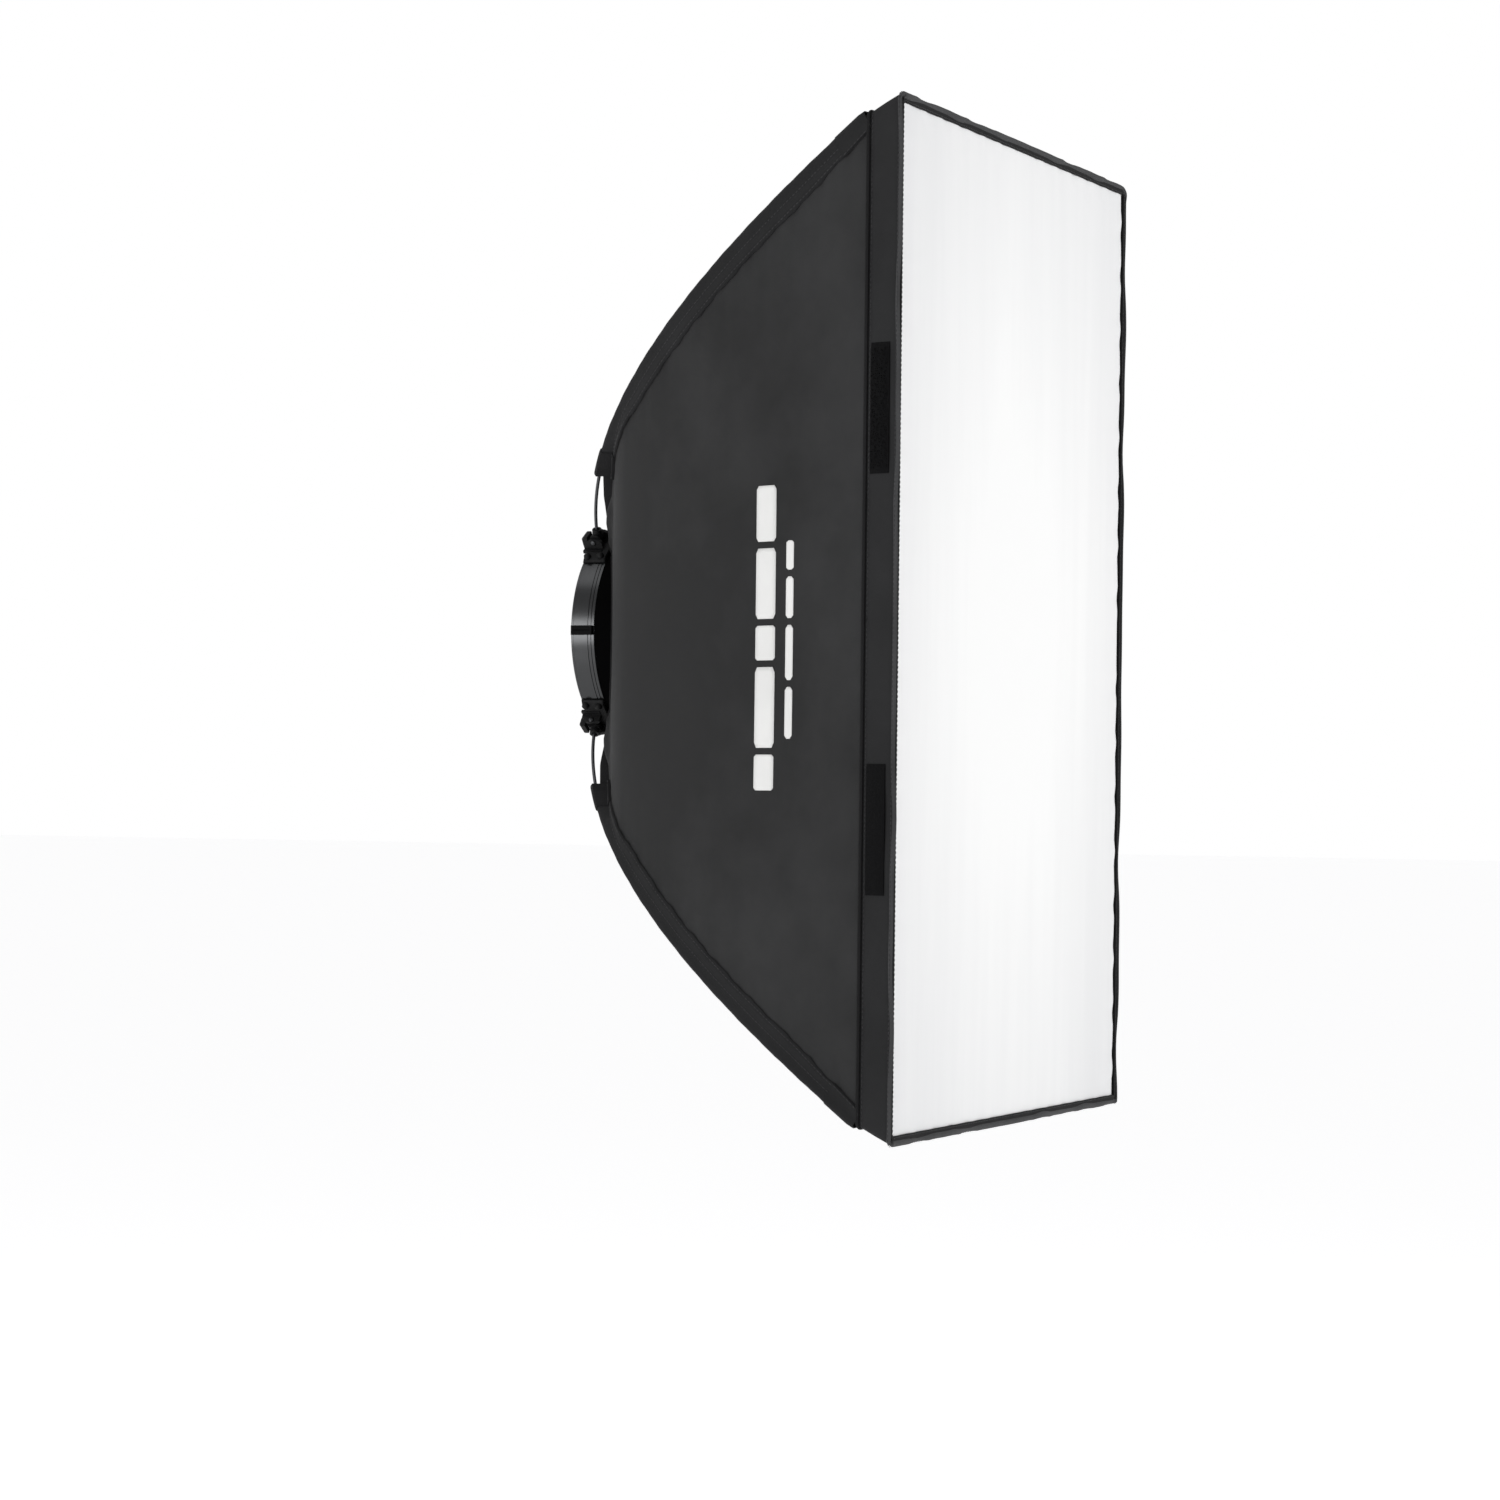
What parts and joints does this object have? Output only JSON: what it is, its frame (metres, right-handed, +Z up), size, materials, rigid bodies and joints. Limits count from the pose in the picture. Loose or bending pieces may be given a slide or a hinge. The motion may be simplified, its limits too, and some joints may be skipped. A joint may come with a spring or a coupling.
{
  "type": "strip softbox",
  "caption": "Folding rectangular softbox: rotating mount ring, hinged bent rods, black fabric shell, inner baffle and white front diffuser.",
  "frame": {"origin": "on the box's axis, in the rear face of the speed ring, where a flash head mounts", "axes": "+Z up along the tall sides, -Y the way the light leaves, +X to the right seen from the front"},
  "size_m": [0.61, 0.419, 0.914],
  "materials": {
    "ring_metal": "satin dark anodised",
    "insert_metal": "satin",
    "pin_steel": "turned",
    "rod_metal": "smooth dark coating",
    "black_plastic": "moulded, fine grain",
    "shell_fabric": "plain weave nylon, silver-lined",
    "sleeve_fabric": "doubled nylon with stitched seams",
    "collar_fabric": "dull black",
    "hook_tape": "fuzzy hook-and-loop pile",
    "edging_fabric": "ribbed binding",
    "diffuser_fabric": "thin white woven cloth"
  },
  "bodies": {
    "softbox": {"speed_ring": "ring_metal", "insert_retainer": "insert_metal", "light_seal_collar": "collar_fabric", "rod_bracket_upper_left": "black_plastic", "rod_pin_upper_left": "pin_steel", "baffle_tab_upper_left": "sleeve_fabric", "rod_bracket_upper_right": "black_plastic", "rod_pin_upper_right": "pin_steel", "baffle_tab_upper_right": "sleeve_fabric", "rod_bracket_lower_left": "black_plastic", "rod_pin_lower_left": "pin_steel", "baffle_tab_lower_left": "sleeve_fabric", "rod_bracket_lower_right": "black_plastic", "rod_pin_lower_right": "pin_steel", "baffle_tab_lower_right": "sleeve_fabric", "panel_left": "shell_fabric", "lip_left": "shell_fabric", "diffuser_edging_left": "edging_fabric", "panel_right": "shell_fabric", "lip_right": "shell_fabric", "diffuser_edging_right": "edging_fabric", "panel_top": "shell_fabric", "lip_top": "shell_fabric", "diffuser_edging_top": "edging_fabric", "panel_bottom": "shell_fabric", "lip_bottom": "shell_fabric", "diffuser_edging_bottom": "edging_fabric", "tape_left_upper": "hook_tape", "tape_left_lower": "hook_tape", "tape_right_upper": "hook_tape", "tape_right_lower": "hook_tape", "tape_top": "hook_tape", "tape_bottom": "hook_tape", "front_diffuser": "diffuser_fabric", "inner_baffle": "diffuser_fabric"},
    "mount_insert": {"mount_insert": "insert_metal"},
    "rotation_lock": {"rotation_lock": "black_plastic"},
    "rod_upper_left": {"rod_socket_upper_left": "black_plastic", "rod_upper_left": "rod_metal", "rod_sleeve_upper_left": "sleeve_fabric", "rod_pocket_upper_left": "sleeve_fabric"},
    "release_upper_left": {"rod_release_upper_left": "black_plastic"},
    "rod_upper_right": {"rod_socket_upper_right": "black_plastic", "rod_upper_right": "rod_metal", "rod_sleeve_upper_right": "sleeve_fabric", "rod_pocket_upper_right": "sleeve_fabric"},
    "release_upper_right": {"rod_release_upper_right": "black_plastic"},
    "rod_lower_left": {"rod_socket_lower_left": "black_plastic", "rod_lower_left": "rod_metal", "rod_sleeve_lower_left": "sleeve_fabric", "rod_pocket_lower_left": "sleeve_fabric"},
    "release_lower_left": {"rod_release_lower_left": "black_plastic"},
    "rod_lower_right": {"rod_socket_lower_right": "black_plastic", "rod_lower_right": "rod_metal", "rod_sleeve_lower_right": "sleeve_fabric", "rod_pocket_lower_right": "sleeve_fabric"},
    "release_lower_right": {"rod_release_lower_right": "black_plastic"}
  },
  "joints": [
    {"name": "insert_turn", "type": "hinge", "parent": "softbox", "child": "mount_insert", "pos_m": [0, 0, 0], "axis": [0, 1, 0], "continuous": true},
    {"name": "rotation_lock_pull", "type": "slide", "parent": "softbox", "child": "rotation_lock", "axis": [-1, 0, 0], "range_m": [0, 0.003], "stiffness_N_per_m": 500, "springref_m": -0.002},
    {"name": "rod_fold_upper_left", "type": "hinge", "parent": "softbox", "child": "rod_upper_left", "pos_m": [-0.06051, -0.0085, 0.09066], "axis": [0.8318, 0, 0.5551], "range_deg": [0, 45], "deforming": ["panel_left", "panel_top", "lip_left", "lip_top", "diffuser_edging_left", "diffuser_edging_top", "front_diffuser", "inner_baffle", "baffle_tab_upper_left", "tape_left_upper", "tape_top"]},
    {"name": "release_press_upper_left", "type": "slide", "parent": "softbox", "child": "release_upper_left", "axis": [0, -1, 0], "range_m": [0, 0.002], "stiffness_N_per_m": 500, "springref_m": -0.002},
    {"name": "rod_fold_upper_right", "type": "hinge", "parent": "softbox", "child": "rod_upper_right", "pos_m": [0.06051, -0.0085, 0.09066], "axis": [0.8318, 0, -0.5551], "range_deg": [0, 45], "deforming": ["panel_right", "panel_top", "lip_right", "lip_top", "diffuser_edging_right", "diffuser_edging_top", "front_diffuser", "inner_baffle", "baffle_tab_upper_right", "tape_right_upper", "tape_top"]},
    {"name": "release_press_upper_right", "type": "slide", "parent": "softbox", "child": "release_upper_right", "axis": [0, -1, 0], "range_m": [0, 0.002], "stiffness_N_per_m": 500, "springref_m": -0.002},
    {"name": "rod_fold_lower_left", "type": "hinge", "parent": "softbox", "child": "rod_lower_left", "pos_m": [-0.06051, -0.0085, -0.09066], "axis": [-0.8318, 0, 0.5551], "range_deg": [0, 45], "deforming": ["panel_left", "panel_bottom", "lip_left", "lip_bottom", "diffuser_edging_left", "diffuser_edging_bottom", "front_diffuser", "inner_baffle", "baffle_tab_lower_left", "tape_left_lower", "tape_bottom"]},
    {"name": "release_press_lower_left", "type": "slide", "parent": "softbox", "child": "release_lower_left", "axis": [0, -1, 0], "range_m": [0, 0.002], "stiffness_N_per_m": 500, "springref_m": -0.002},
    {"name": "rod_fold_lower_right", "type": "hinge", "parent": "softbox", "child": "rod_lower_right", "pos_m": [0.06051, -0.0085, -0.09066], "axis": [-0.8318, 0, -0.5551], "range_deg": [0, 45], "deforming": ["panel_right", "panel_bottom", "lip_right", "lip_bottom", "diffuser_edging_right", "diffuser_edging_bottom", "front_diffuser", "inner_baffle", "baffle_tab_lower_right", "tape_right_lower", "tape_bottom"]},
    {"name": "release_press_lower_right", "type": "slide", "parent": "softbox", "child": "release_lower_right", "axis": [0, -1, 0], "range_m": [0, 0.002], "stiffness_N_per_m": 500, "springref_m": -0.002}
  ]
}
